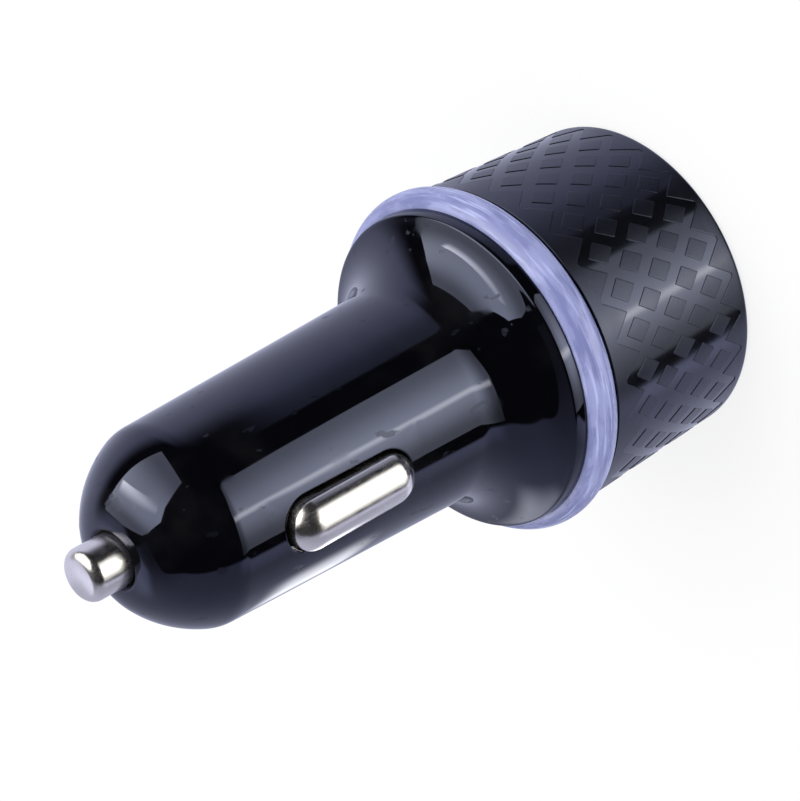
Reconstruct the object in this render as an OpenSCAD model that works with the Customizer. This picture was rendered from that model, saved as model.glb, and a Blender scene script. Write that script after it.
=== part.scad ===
// Car charger plug for a 12 V socket, with two charging ports in its head.
// It stands on its face: the origin is the middle of the face, and +Z runs along
// the plug's axis to the sprung tip. The side contacts lie on the X axis.

/* [Head] */
// Length of the head from its face to the light ring's seam
head_len = 19; // [17.5:0.5:22]
// Radius of the head at the face
head_r_face = 15.4; // [15:0.1:16]
// Radius of the head at the light ring
head_r_ring = 16.25; // [16:0.05:17]
// Radius of the bore inside the head
head_bore_r = 13.5; // [13.2:0.1:13.8]
// Radius of the rounded edge round the face
face_edge_r = 0.6; // [0.3:0.1:0.9]
// Depth of the lip that stands round the face plate
lip_depth = 0.6; // [0.4:0.1:1]
// Width of the step that the face plate rests on
lip_w = 0.7; // [0.5:0.1:1]

/* [Lattice] */
// Number of tiles round the head in one row
lattice_columns = 26; // [22:1:28]
// Turn of the first column from the right side contact, in degrees
lattice_turn = 2.8; // [2:0.2:5]
// Height from one row of tiles to the next row in the same columns
lattice_pitch = 5.15; // [4.6:0.05:5.2]
// Height of the middle row above the face
lattice_mid = 9.3; // [9:0.1:9.6]
// Width of a tile, corner to corner round the head
tile_w = 2.45; // [2:0.05:2.7]
// Height of a tile, corner to corner along the axis
tile_h = 3.2; // [2.6:0.1:3.4]
// Depth of the grooves between the tiles
groove_depth = 0.08; // [0.06:0.01:0.16]
// Height from the middle row to the base of the zigzag border
border_reach = 8.1; // [7.9:0.05:8.2]
// Height of a tooth of the zigzag border
tooth_h = 2.4; // [2:0.1:2.6]
// Flat between two teeth of the zigzag border
tooth_flat = 0.3; // [0.25:0.05:0.5]

/* [Light ring] */
// Height of the light ring's visible band
ring_h = 3; // [2.6:0.1:3.6]
// Height of the light ring's crown beyond the head
ring_proud = 0.7; // [0.5:0.05:0.8]
// Height of the crown above the light ring's lower edge
ring_crown_h = 1.3; // [1.2:0.05:1.5]
// Radius of the curve across the light ring's band
ring_curve_r = 1.8; // [1.75:0.05:2.2]
// Length of the skirt that the light ring reaches into the head
skirt_len = 3.1; // [2.6:0.1:3.4]
// Wall of the skirt
skirt_wall = 0.9; // [0.7:0.1:1]

/* [Flange and barrel] */
// Height of the glossy band between the light ring and the flange's edge
band_h = 1.3; // [1:0.1:1.8]
// Radius of the band beside the light ring
band_r = 15.6; // [15.3:0.05:15.9]
// Radius of the flange's sharp edge
edge_r = 15.45; // [15.2:0.05:15.7]
// Radius of the hollow curve from the flange to the barrel
flare_r = 7.4; // [6.4:0.1:8]
// Radius of the barrel where the hollow curve ends
barrel_r = 10.4; // [10.2:0.05:10.5]
// Draft of the barrel, in degrees
barrel_draft = 1.74; // [1.5:0.02:2]
// Length from the flange's edge to the nose
barrel_len = 33.8; // [32.5:0.1:36]
// Wall of the barrel
barrel_wall = 1.6; // [1.4:0.05:1.8]
// Length of the snap fingers below the flange
finger_len = 8; // [7.4:0.1:8.2]
// Wall of the snap fingers
finger_wall = 1.2; // [1:0.1:1.4]
// Height that a snap finger's barb stands proud
barb_h = 0.35; // [0.2:0.05:0.45]
// Length of a barb
barb_len = 0.9; // [0.7:0.1:1.2]
// Width of the gaps between the snap fingers
finger_gap = 8; // [6:0.5:9]

/* [Nose] */
// Length of the nose as a share of the barrel's radius
nose_share = 0.7; // [0.68:0.01:0.72]
// Radius of the curve at the barrel's shoulder
shoulder_r = 4; // [3.6:0.1:4.4]
// Radius of the curve over the nose
nose_r = 12; // [11.4:0.1:12.6]
// Angle at which the shoulder's curve passes into the nose's
nose_blend = 22; // [18:1:26]
// Thickness of the nose round the tip
nose_wall = 2.2; // [2:0.1:2.5]
// Radius of the room behind the nose's wall
nose_room_r = 4.7; // [4.4:0.1:5]
// Width of the countersink round the tip
countersink_w = 0.28; // [0.2:0.02:0.4]
// Depth of the countersink round the tip
countersink_h = 0.3; // [0.2:0.05:0.5]

/* [Tip contact] */
// Radius of the tip
tip_r = 2.5; // [2.3:0.05:2.7]
// Height of the tip above the nose when it is pressed in
tip_rest = 1.5; // [1.4:0.1:2]
// Radius of the rounded edge of the tip's end
tip_round = 1; // [0.6:0.05:2.2]
// Radius of the collar that keeps the tip in the nose
collar_r = 3.8; // [3.6:0.05:4]
// Thickness of the collar
collar_h = 1.2; // [1:0.1:1.5]
// Radius of the stub inside the tip's spring
stub_r = 1.9; // [1.6:0.1:2]
// Length of the stub inside the tip's spring
stub_len = 1.6; // [1.2:0.1:2]
// Travel of the tip
tip_travel = 2.5; // [2:0.1:2.6]
// Wire of the tip's spring
tip_wire_d = 0.5; // [0.4:0.05:0.55]
// Number of turns of the tip's spring
tip_turns = 5; // [4:1:6]

/* [Side contacts] */
// Length of a side contact's slot
slot_len = 14.6; // [14:0.1:15.6]
// Width of a side contact's slot
slot_w = 5.4; // [5:0.1:5.8]
// Distance of the slot's middle from the end of the barrel's straight part
slot_setback = 11.4; // [10.8:0.1:11.8]
// Height of a side contact's crest above the barrel when it is pressed in
contact_rest = 0.3; // [0.2:0.05:0.4]
// Radius of a side contact's crest
contact_crown = 2.8; // [2.7:0.05:3.4]
// Radius of the rounded edge between a side contact's crest and its walls
contact_edge = 0.3; // [0.15:0.05:0.6]
// Travel of a side contact
contact_travel = 1.7; // [1.4:0.05:1.8]
// Depth of the flat seat inside the barrel below its widest radius
seat_depth = 3; // [2.9:0.05:3.2]
// Rim of a side contact's foot beyond its slot
foot_rim = 0.6; // [0.5:0.05:0.8]
// Thickness of a side contact's foot
foot_h = 0.75; // [0.6:0.05:0.9]
// Thickness of a bow spring's strip
leaf_t = 0.3; // [0.2:0.05:0.35]
// Width of a bow spring's strip
leaf_w = 4; // [3:0.1:4.4]
// Half length of the bow spring's arch
leaf_span = 4.85; // [4.6:0.05:4.9]
// Height of the bow spring's straight legs above the board
leaf_leg = 1.1; // [1.05:0.05:1.35]
// Length of a bow spring's soldered foot
leaf_foot = 1.2; // [0.8:0.1:1.4]

/* [Face plate and ports] */
// Thickness of the face plate
plate_h = 2; // [1.6:0.1:2.2]
// Width of a port inside its shell
port_w = 12.5; // [12.3:0.05:12.6]
// Height of a port inside its shell
port_h = 5.12; // [5:0.02:5.2]
// Wall of a port's shell
shell_wall = 0.3; // [0.25:0.05:0.35]
// Distance of a port shell's inner end from the head's seam
shell_setback = 2.4; // [2.2:0.1:3]
// Lead-in round each window of the face plate
lead_in = 0.4; // [0.3:0.05:0.6]
// Depth from a shell's mouth to its tongue
tongue_depth = 2.2; // [2.1:0.05:2.6]
// Width of a port's tongue
tongue_w = 11.1; // [10.6:0.1:11.4]
// Thickness of a port's tongue
tongue_t = 1.84; // [1.7:0.02:1.9]
// Offset of the tongue from the middle of its port
tongue_offset = 0.95; // [0.9:0.05:1.05]
// Length of the moulded block at the back of a port
block_len = 4; // [3.4:0.1:4.6]
// Width of a port's contact strips
strip_w = 1; // [0.8:0.05:1.1]
// Thickness of a port's contact strips
strip_t = 0.2; // [0.15:0.05:0.25]

/* [Circuit board] */
// Thickness of the circuit board
board_t = 1.2; // [1:0.1:1.4]
// Half width of the circuit board in the head
board_half_head = 11.6; // [11.2:0.1:11.8]
// Distance of the board's edge from the barrel's widest radius
board_inset = 3.2; // [3.1:0.1:3.4]
// Distance of the circuit board from the face plate
board_setback = 1.4; // [1:0.1:2]
// Distance of the board's shoulders from the barrel's flange
shoulder_setback = 0.6; // [0.4:0.1:1]
// Room between the board's end and the end of the side contacts' seats
board_end_room = 0.7; // [0.5:0.1:1]
// Width of the guide ribs in the barrel
rib_t = 1; // [0.8:0.1:1.2]
// Length of the guide ribs in the barrel
rib_len = 17; // [14:0.5:18]
// Depth that the ribs reach over the board's edge
rib_reach = 0.9; // [0.6:0.1:1.2]

/* [Electronics] */
// Radius of the choke
choke_r = 3.6; // [3.2:0.1:3.8]
// Height of the choke
choke_h = 4.4; // [4:0.1:4.8]
// Thickness of the choke's two flanges
choke_flange = 0.8; // [0.6:0.05:1]
// Radius of the input capacitor's can
can_r = 3.1; // [2.8:0.05:3.2]
// Length of the input capacitor's can
can_len = 7; // [6:0.1:7.4]
// Distance of the choke from the flange's edge
choke_setback = 2.4; // [2:0.1:2.8]
// Distance of the can from the flange's edge
can_setback = 1; // [0.8:0.1:1.4]
// Side of the regulator chip
chip_side = 5; // [4.6:0.1:5.4]
// Height of the regulator chip
chip_h = 1.5; // [1.2:0.1:1.6]
// Distance of the regulator chip's middle from the flange's edge
chip_setback = 2.6; // [2.6:0.1:3]
// Width of the small chip and the diode
small_w = 2.6; // [2.2:0.1:2.8]
// Height of the small chip
small_h = 1.1; // [0.9:0.1:1.3]
// Height of the rectifier diode
diode_h = 2; // [1.6:0.1:2.2]
// Length of the rectifier diode
diode_len = 3.4; // [3:0.1:3.6]
// Length of the output capacitor
block_cap_len = 6; // [5:0.1:6.4]
// Height of the output capacitor
block_cap_h = 1.8; // [1.4:0.1:2]
// Side of a lamp under the light ring
lamp_side = 1.6; // [1.2:0.1:1.8]
// Thickness of a lamp
lamp_t = 0.8; // [0.6:0.1:1]

/* [Clearances] */
// Seam between the head and the light ring
seam_gap = 0.2; // [0.1:0.02:0.3]
// Gap round mouldings that plug into each other
fit_gap = 0.1; // [0.06:0.01:0.15]
// Running gap round the tip
tip_gap = 0.08; // [0.05:0.01:0.1]
// Gap round a side contact in its slot
slot_gap = 0.3; // [0.25:0.01:0.35]
// Gap between a sprung piece and the stop that it rests on
stop_gap = 0.05; // [0.03:0.01:0.08]

/* [Hidden] */
$fn = 96;

// Heights along the axis
ring_z = head_len + seam_gap;
flange_z = ring_z + ring_h;
edge_z = flange_z + band_h;
nose_z = edge_z + barrel_len;
nose_len = nose_share * barrel_r;
nose_end_z = nose_z + nose_len;
ceiling_z = nose_end_z - nose_wall;
tip_end_z = nose_end_z + tip_rest + tip_travel;
skirt_z = ring_z - skirt_len;
step_z = skirt_z - fit_gap;
finger_z = flange_z - finger_len;
plate_z = lip_depth + plate_h;
board_z = plate_z + board_setback;
board_shoulder = flange_z - shoulder_setback;
slot_z = nose_z - slot_setback;
// Length that a tooth of the border runs past the end of the grooves
tooth_run = 0.1;

// Radii of the ring and inside the head
ring_crown_r = head_r_ring + ring_proud;
plate_r = head_bore_r - fit_gap;
finger_r = head_bore_r - fit_gap;
finger_bore_r = finger_r - finger_wall;
skirt_r = head_bore_r + skirt_wall;
step_r = skirt_r + fit_gap;

// Curves of the barrel, seen in a half section with x as radius and y as height
flare_x = barrel_r + flare_r * cos(barrel_draft);
flare_y = edge_z + sqrt(pow(flare_r, 2) - pow(flare_x - edge_r, 2));
flare_end_z = flare_y - flare_r * sin(barrel_draft);
shoulder_wall_r = barrel_r - (nose_z - flare_end_z) * tan(barrel_draft);
shoulder_x = shoulder_wall_r - shoulder_r * cos(barrel_draft);
shoulder_y = nose_z - shoulder_r * sin(barrel_draft);
dome_x = shoulder_x - (nose_r - shoulder_r) * cos(nose_blend);
dome_y = shoulder_y - (nose_r - shoulder_r) * sin(nose_blend);
function barrel_radius(z) = barrel_r - (z - flare_end_z) * tan(barrel_draft);
function head_radius(z) = head_r_face + (head_r_ring - head_r_face) * z / head_len;

// Side contacts
seat_x = barrel_r - seat_depth;
stem_w = slot_w - 2 * slot_gap;
stem_len = slot_len - 2 * slot_gap;
crest_x = barrel_radius(slot_z) + contact_rest + contact_travel;
crown_x = crest_x - contact_crown;
contact_edge_y = stem_w / 2 - contact_edge;
contact_edge_x = crown_x + sqrt(pow(contact_crown - contact_edge, 2) - pow(contact_edge_y, 2));
foot_w = slot_w + 2 * foot_rim;
foot_len = slot_len + 2 * foot_rim;
foot_out_x = seat_x - stop_gap;
foot_in_x = foot_out_x - foot_h;
leaf_top_x = foot_in_x - stop_gap;
leaf_rise = leaf_top_x - board_t / 2 - leaf_leg;
leaf_r = (pow(leaf_span, 2) + pow(leaf_rise, 2)) / (2 * leaf_rise);
seat_half_len = foot_len / 2 + foot_rim;
seat_top_z = slot_z + seat_half_len;

// Circuit board and what stands on it
board_half_t = board_t / 2;
board_half_barrel = barrel_r - board_inset;
board_end_z = seat_top_z - board_end_room;
port_x = board_half_t + shell_wall + port_h / 2;
shell_end_z = head_len - shell_setback;
shell_len = shell_end_z - plate_z;
tongue_z = plate_z + tongue_depth;
block_z = shell_end_z - block_len;
strip_pitch = [-3.5, -1, 1, 3.5];

// Tip and its spring
collar_top_z = ceiling_z - stop_gap;
collar_z = collar_top_z - collar_h;
cup_wall = 0.5;
spring_room = 0.35;
spring_r = stub_r + tip_wire_d / 2 + spring_room;
cup_r = spring_r + tip_wire_d / 2 + cup_wall + fit_gap;
spring_low_z = board_end_z + cup_wall;
spring_high_z = collar_z - stop_gap;

// Outline with round ends, as long as len and as wide as w, along y
module slot_outline(len, w) {
    square([w, len - w], center = true);
    for (side = [-1, 1]) translate([0, side * (len - w) / 2]) circle(d = w);
}

// Solid that stands out along +X, with its outline across the Y and Z axes
module facing_x(x0, x1) {
    translate([x0, 0, 0]) rotate([90, 0, 90]) linear_extrude(x1 - x0) children();
}

// The shape on the -X side is the one on the +X side turned half round
module on_side(side) {
    rotate([0, 0, side > 0 ? 0 : 180]) children();
}

module barrel_section() {
    polygon([[0, flange_z], [band_r, flange_z], [edge_r, edge_z], [0, edge_z]]);
    difference() {
        polygon([[0, edge_z], [edge_r, edge_z], [edge_r, flare_end_z], [0, flare_end_z]]);
        translate([flare_x, flare_y]) circle(flare_r);
    }
    polygon([[0, flare_end_z], [barrel_r, flare_end_z], [shoulder_wall_r, nose_z], [0, nose_z]]);
    difference() {
        intersection() {
            polygon([[0, nose_z], [shoulder_wall_r, nose_z],
                [barrel_radius(nose_end_z), nose_end_z], [0, nose_end_z]]);
            translate([dome_x, dome_y]) circle(nose_r);
        }
        translate([shoulder_x, shoulder_y]) shoulder_wedge();
    }
    intersection() {
        translate([shoulder_x, shoulder_y]) circle(shoulder_r);
        translate([shoulder_x, shoulder_y - shoulder_r]) square(2 * shoulder_r);
    }
}

// Corner between the barrel's wall and the dome, which the shoulder's curve replaces
module shoulder_wedge() {
    reach = 2 * shoulder_r;
    polygon([[0, 0], for (a = [barrel_draft, (barrel_draft + nose_blend) / 2, nose_blend])
        reach * [cos(a), sin(a)]]);
}

module barrel_room() {
    rotate_extrude() polygon([[0, flange_z - 1],
        [finger_bore_r, flange_z - 1], [finger_bore_r, flange_z + 0.8],
        [barrel_r - barrel_wall, flare_end_z - 0.8], [shoulder_wall_r - barrel_wall, nose_z - 0.5],
        [nose_room_r, ceiling_z], [0, ceiling_z]]);
}

module contact_seats() {
    for (side = [-1, 1]) on_side(side)
        translate([seat_x, -barrel_r, slot_z - seat_half_len])
            cube([barrel_r, 2 * barrel_r, 2 * seat_half_len]);
}

module snap_fingers() {
    difference() {
        rotate_extrude() {
            translate([finger_bore_r, finger_z]) square([finger_wall, finger_len + 1]);
            polygon([[finger_r - 0.1, finger_z], [finger_r, finger_z],
                [finger_r + barb_h, finger_z + barb_len * 0.6],
                [finger_r + barb_h, finger_z + barb_len * 0.8], [finger_r, finger_z + barb_len],
                [finger_r - 0.1, finger_z + barb_len]]);
        }
        for (turn = [0, 90]) rotate([0, 0, turn])
            translate([-head_r_ring, -finger_gap / 2, finger_z - 1])
                cube([2 * head_r_ring, finger_gap, flange_z - finger_z + 1 - fit_gap]);
    }
}

module guide_ribs() {
    rib_in = board_half_barrel - rib_reach;
    rib_out = barrel_radius(slot_z) - barrel_wall / 2;
    for (sx = [-1, 1], sy = [-1, 1])
        translate([sx * (board_half_t + fit_gap + rib_t / 2), sy * (rib_in + rib_out) / 2, slot_z - rib_len / 2])
            translate([-rib_t / 2, -(rib_out - rib_in) / 2, 0]) cube([rib_t, rib_out - rib_in, rib_len]);
}

module barrel_housing() {
    color([0.03, 0.03, 0.04]) {
        difference() {
            rotate_extrude() barrel_section();
            difference() {
                barrel_room();
                contact_seats();
            }
            for (side = [-1, 1]) on_side(side)
                translate([0, 0, slot_z]) facing_x(seat_x - 1, barrel_r + 1) slot_outline(slot_len, slot_w);
            translate([0, 0, ceiling_z - 1]) cylinder(r = tip_r + tip_gap, h = nose_wall + 2);
            translate([0, 0, nose_end_z - countersink_h])
                cylinder(r1 = tip_r + tip_gap, r2 = tip_r + tip_gap + 2 * countersink_w,
                    h = 2 * countersink_h);
        }
        snap_fingers();
        guide_ribs();
    }
}

module light_ring() {
    color([0.65, 0.65, 0.84]) rotate_extrude() {
        intersection() {
            translate([ring_crown_r - ring_curve_r, ring_z + ring_crown_h]) circle(ring_curve_r);
            translate([head_bore_r, ring_z]) square([ring_crown_r, ring_h]);
        }
        translate([head_bore_r, skirt_z]) square([skirt_wall, flange_z - skirt_z]);
        translate([head_bore_r, ring_z]) square([ring_crown_r - ring_curve_r - head_bore_r, ring_h]);
    }
}

// Ring-shaped room that the grooves are cut in
module groove_room() {
    low = lattice_mid - border_reach;
    high = lattice_mid + border_reach;
    rotate_extrude() polygon([[head_radius(low) - groove_depth, low], [head_r_ring + 1, low],
        [head_r_ring + 1, high], [head_radius(high) - groove_depth, high]]);
}

// Tiles in every row: whole rows on the columns, and rows between them on the half columns
module lattice_tiles() {
    step = 360 / lattice_columns;
    for (column = [0 : lattice_columns - 1]) rotate([0, 0, lattice_turn]) {
        for (row = [-1, 0, 1]) tile(column * step, lattice_mid + row * lattice_pitch);
        for (row = [-0.5, 0.5]) tile((column + 0.5) * step, lattice_mid + row * lattice_pitch);
        for (end = [-1, 1]) tooth((column + 0.5) * step, end);
    }
}

module tile(angle, z) {
    rotate([0, 0, angle]) translate([0, 0, z]) facing_x(head_bore_r, head_r_ring + 2)
        polygon([[-tile_w / 2, 0], [0, -tile_h / 2], [tile_w / 2, 0], [0, tile_h / 2]]);
}

// Triangle that points at the middle of the lattice and runs a little past the grooves' end
module tooth(angle, end) {
    half = head_radius(lattice_mid) * tan(180 / lattice_columns) - tooth_flat / 2;
    base = half * (tooth_h + tooth_run) / tooth_h;
    rotate([0, 0, angle]) translate([0, 0, lattice_mid]) facing_x(head_bore_r, head_r_ring + 2)
        polygon([[-base, end * (border_reach + tooth_run)], [0, end * (border_reach - tooth_h)],
            [base, end * (border_reach + tooth_run)]]);
}

module head_sleeve() {
    color([0.07, 0.07, 0.08]) difference() {
        rotate_extrude() difference() {
            union() {
                polygon([[0, face_edge_r], [head_radius(face_edge_r), face_edge_r],
                    [head_r_ring, head_len], [0, head_len]]);
                square([head_radius(face_edge_r) - face_edge_r, face_edge_r]);
                translate([head_radius(face_edge_r) - face_edge_r, face_edge_r]) circle(face_edge_r);
            }
            translate([-1, -1]) square([head_bore_r - lip_w + 1, head_len + 2]);
            translate([-1, lip_depth]) square([head_bore_r + 1, head_len]);
            translate([-1, step_z]) square([step_r + 1, head_len]);
            translate([-1, finger_z - fit_gap])
                square([head_bore_r + 1 + barb_h, barb_len + 2 * fit_gap]);
        }
        difference() {
            groove_room();
            lattice_tiles();
        }
    }
}

// Mouth of a port, as wide as w and as high as h, with its lead-in at the face
module window(w, h) {
    translate([-h / 2, -w / 2, 0]) cube([h, w, plate_z + 1]);
    intersection() {
        translate([0, -w, lip_depth]) rotate([-90, 0, 0]) linear_extrude(2 * w) lead_in_section(h);
        translate([-h, 0, lip_depth]) rotate([90, 0, 90])
            linear_extrude(2 * h) mirror([0, 1]) lead_in_section(w);
    }
}

// Section across a lead-in, which widens towards the face
module lead_in_section(span) {
    polygon([[-span / 2, -lead_in], [-span / 2 - 2 * lead_in, lead_in],
        [span / 2 + 2 * lead_in, lead_in], [span / 2, -lead_in]]);
}

module face_plate() {
    color([0.05, 0.05, 0.06]) difference() {
        translate([0, 0, lip_depth]) cylinder(r = plate_r, h = plate_h);
        for (side = [-1, 1]) translate([side * port_x, 0, 0]) window(port_w, port_h);
    }
}

module port_shell(side) {
    color([0.75, 0.76, 0.78]) on_side(side) translate([port_x, 0, plate_z]) difference() {
        translate([-port_h / 2 - shell_wall, -port_w / 2 - shell_wall, 0])
            cube([port_h + 2 * shell_wall, port_w + 2 * shell_wall, shell_len]);
        translate([-port_h / 2, -port_w / 2, -1]) cube([port_h, port_w, shell_len + 2]);
    }
}

// Contact strips of one port, each grown by extra on every side
module strips(extra) {
    under_x = port_x + tongue_offset - tongue_t / 2;
    start_z = tongue_z + strip_w;
    tail_z = shell_end_z + 2 * strip_t;
    for (y = strip_pitch) translate([0, y - strip_w / 2 - extra, 0]) {
        translate([under_x - strip_t - extra, 0, start_z])
            cube([strip_t + 2 * extra, strip_w + 2 * extra, tail_z + strip_t - start_z]);
        translate([board_half_t, 0, tail_z])
            cube([under_x - board_half_t, strip_w + 2 * extra, strip_t]);
    }
}

module port_tongue(side) {
    color([0.9, 0.9, 0.9]) on_side(side) difference() {
        union() {
            translate([port_x + tongue_offset - tongue_t / 2, -tongue_w / 2, tongue_z])
                cube([tongue_t, tongue_w, block_z - tongue_z + 0.1]);
            translate([port_x - port_h / 2 + stop_gap, -port_w / 2 + stop_gap, block_z])
                cube([port_h - 2 * stop_gap, port_w - 2 * stop_gap, block_len]);
        }
        strips(stop_gap);
    }
}

module port_strips(side) {
    color([0.85, 0.68, 0.3]) on_side(side) strips(0);
}

module main_board() {
    color([0.05, 0.3, 0.15]) facing_x(-board_half_t, board_half_t) polygon([
        [-board_half_head, board_z], [board_half_head, board_z], [board_half_head, board_shoulder],
        [board_half_barrel, board_shoulder], [board_half_barrel, board_end_z],
        [-board_half_barrel, board_end_z], [-board_half_barrel, board_shoulder],
        [-board_half_head, board_shoulder]]);
}

// Places of the electronics along the board
choke_z = edge_z + choke_setback + choke_r;
can_z = edge_z + can_setback;
chip_z = edge_z - chip_setback;

module choke_core() {
    color([0.2, 0.2, 0.22]) translate([board_half_t, 0, choke_z]) rotate([0, 90, 0]) {
        cylinder(r = choke_r, h = choke_flange);
        cylinder(r = choke_r / 2, h = choke_h);
        translate([0, 0, choke_h - choke_flange]) cylinder(r = choke_r, h = choke_flange);
    }
}

// Winding as turns of wire side by side, in three layers' depth
module choke_winding() {
    room = choke_h - 2 * choke_flange - 2 * stop_gap;
    turns = 5;
    wire_r = room / turns / 2;
    inner_r = choke_r / 2 + stop_gap;
    outer_r = 0.9 * choke_r;
    color([0.75, 0.38, 0.15])
        translate([board_half_t + choke_flange + stop_gap, 0, choke_z]) rotate([0, 90, 0])
        rotate_extrude() {
            translate([inner_r, 0]) square([outer_r - wire_r - inner_r, room]);
            for (turn = [0 : turns - 1])
                translate([outer_r - wire_r, (2 * turn + 1) * wire_r]) circle(wire_r, $fn = 24);
        }
}

module input_capacitor() {
    groove_r = 0.5;
    lead_r = 0.25;
    lead_drop = 1;
    middle_x = board_half_t + can_r + fit_gap;
    color([0.2, 0.22, 0.35]) {
        translate([-middle_x, 0, can_z]) rotate_extrude() difference() {
            square([can_r, can_len]);
            translate([can_r + groove_r / 2, can_len * 0.2]) circle(groove_r, $fn = 32);
        }
        for (y = [-1, 1]) {
            translate([-middle_x, y, can_z - lead_drop]) cylinder(r = lead_r, h = lead_drop + 0.1, $fn = 24);
            translate([-middle_x - lead_r, y - lead_r, can_z - lead_drop - 1.6 * lead_r])
                cube([middle_x - board_half_t + lead_r, 2 * lead_r, 2 * lead_r]);
        }
    }
}

module output_capacitor() {
    color([0.8, 0.7, 0.5]) translate([-board_half_t - block_cap_h, -block_cap_len / 2, chip_z - small_w / 2])
        cube([block_cap_h, block_cap_len, small_w]);
}

module regulator_chip() {
    leg = [0.25, 1, 0.4];
    leg_pitch = 1.2;
    color([0.08, 0.08, 0.08]) {
        translate([board_half_t, -chip_side / 2, chip_z - chip_side / 2])
            cube([chip_h, chip_side, chip_side]);
        for (side = [-1, 1], place = [-1.5 : 1 : 1.5])
            translate([board_half_t, side * (chip_side / 2 + 0.4 * leg[1]) - leg[1] / 2,
                chip_z + place * leg_pitch - leg[2] / 2])
                cube(leg);
    }
}

module port_chip() {
    color([0.08, 0.08, 0.08]) translate([-board_half_t - small_h, -small_w / 2, can_z + can_len + fit_gap])
        cube([small_h, small_w, small_w]);
}

module rectifier_diode() {
    color([0.1, 0.1, 0.1])
        translate([board_half_t, board_half_barrel - rib_reach - small_w - fit_gap, choke_z + choke_r + fit_gap])
            cube([diode_h, small_w, diode_len]);
}

module ring_lamps() {
    color([0.9, 0.9, 1]) for (sx = [-1, 1], sy = [-1, 1])
        translate([sx * (board_half_t + lamp_t / 2) - lamp_t / 2,
            sy * (board_half_head - lamp_side / 2) - lamp_side / 2, board_shoulder - lamp_side])
            cube([lamp_t, lamp_side, lamp_side]);
}

// Brass cup for the tip's spring, with two prongs that grip the board's end
module spring_seat() {
    prong = [cup_wall, cup_r, 2 * cup_wall];
    color([0.8, 0.65, 0.3]) {
        translate([0, 0, board_end_z]) difference() {
            cylinder(r = cup_r, h = 3 * cup_wall);
            translate([0, 0, cup_wall]) cylinder(r = cup_r - cup_wall, h = 3 * cup_wall);
        }
        for (side = [-1, 1])
            translate([side * (board_half_t + prong[0] / 2) - prong[0] / 2, -prong[1] / 2, board_end_z - prong[2]])
                cube([prong[0], prong[1], prong[2] + cup_wall / 2]);
    }
}

// Wire swept along a helix, with its ends closed
module tip_spring() {
    sides = 6;
    per_turn = 16;
    steps = tip_turns * per_turn;
    wire_r = tip_wire_d / 2;
    low = spring_low_z + wire_r;
    high = spring_high_z - wire_r;
    points = [for (i = [0 : steps], k = [0 : sides - 1])
        let (a = i * 360 / per_turn, b = k * 360 / sides, r = spring_r + wire_r * cos(b))
        [r * cos(a), r * sin(a), low + (high - low) * i / steps + wire_r * sin(b)]];
    walls = [for (i = [0 : steps - 1], k = [0 : sides - 1])
        let (n = (k + 1) % sides, here = i * sides, next = here + sides)
        [here + k, next + k, next + n, here + n]];
    ends = [[for (k = [0 : sides - 1]) k], [for (k = [sides - 1 : -1 : 0]) steps * sides + k]];
    color([0.7, 0.7, 0.72]) polyhedron(points, concat(walls, ends), convexity = 8);
}

module tip_contact() {
    color([0.8, 0.8, 0.82]) rotate_extrude() {
        translate([0, collar_z]) square([collar_r, collar_h]);
        translate([0, collar_z - stub_len]) square([stub_r, stub_len + 0.1]);
        translate([0, collar_z]) square([tip_r, tip_end_z - tip_round - collar_z]);
        translate([0, collar_top_z]) square([tip_r - tip_round, tip_end_z - collar_top_z]);
        intersection() {
            translate([tip_r - tip_round, tip_end_z - tip_round]) circle(tip_round);
            translate([0, tip_end_z - 2 * tip_round]) square(2 * tip_r);
        }
    }
}

// Half section across a side contact's stem: x across the stem, y towards the crest
module stem_section() {
    crown_end = contact_edge_y * contact_crown / (contact_crown - contact_edge);
    translate([0, foot_in_x]) square([stem_w / 2, contact_edge_x - foot_in_x]);
    translate([contact_edge_y, contact_edge_x]) circle(contact_edge);
    intersection() {
        translate([0, crown_x]) circle(contact_crown);
        translate([0, foot_in_x]) square([crown_end, crest_x - foot_in_x]);
    }
}

module side_contact(side) {
    span = stem_len - stem_w;
    color([0.8, 0.8, 0.82]) on_side(side) translate([0, 0, slot_z]) {
        facing_x(foot_in_x, foot_out_x) slot_outline(foot_len, foot_w);
        translate([0, 0, -span / 2]) linear_extrude(span) for (flip = [0, 1])
            mirror([0, flip]) rotate([0, 0, 90]) mirror([0, 1]) stem_section();
        for (end = [-1, 1]) translate([0, 0, end * span / 2])
            rotate([0, 90, 0]) rotate_extrude() stem_section();
    }
}

// Bow spring between the board and a side contact's foot
module side_spring(side) {
    foot_x = board_t / 2;
    leg_x = leaf_top_x - leaf_rise;
    color([0.72, 0.72, 0.74]) on_side(side)
        translate([0, leaf_w / 2, slot_z]) rotate([90, 0, 0]) linear_extrude(leaf_w) {
            intersection() {
                translate([leaf_top_x - leaf_r, 0]) difference() {
                    circle(leaf_r);
                    circle(leaf_r - leaf_t);
                }
                translate([leg_x, -2 * leaf_r]) square(4 * leaf_r);
            }
            for (end = [-1, 1]) mirror([0, end > 0 ? 0 : 1]) {
                translate([foot_x, leaf_span - leaf_t]) square([leg_x - foot_x, leaf_t]);
                translate([foot_x, leaf_span - leaf_t]) square([leaf_t, leaf_foot + leaf_t]);
            }
        }
}

barrel_housing();
light_ring();
head_sleeve();
face_plate();
port_shell(1);  // port_shell_right
port_shell(-1);  // port_shell_left
port_tongue(1);  // port_tongue_right
port_tongue(-1);  // port_tongue_left
port_strips(1);  // port_strips_right
port_strips(-1);  // port_strips_left
main_board();
choke_core();
choke_winding();
input_capacitor();
output_capacitor();
regulator_chip();
port_chip();
rectifier_diode();
ring_lamps();
spring_seat();
tip_spring();
tip_contact();
side_contact(1);  // side_contact_right
side_contact(-1);  // side_contact_left
side_spring(1);  // side_spring_right
side_spring(-1);  // side_spring_left
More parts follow.
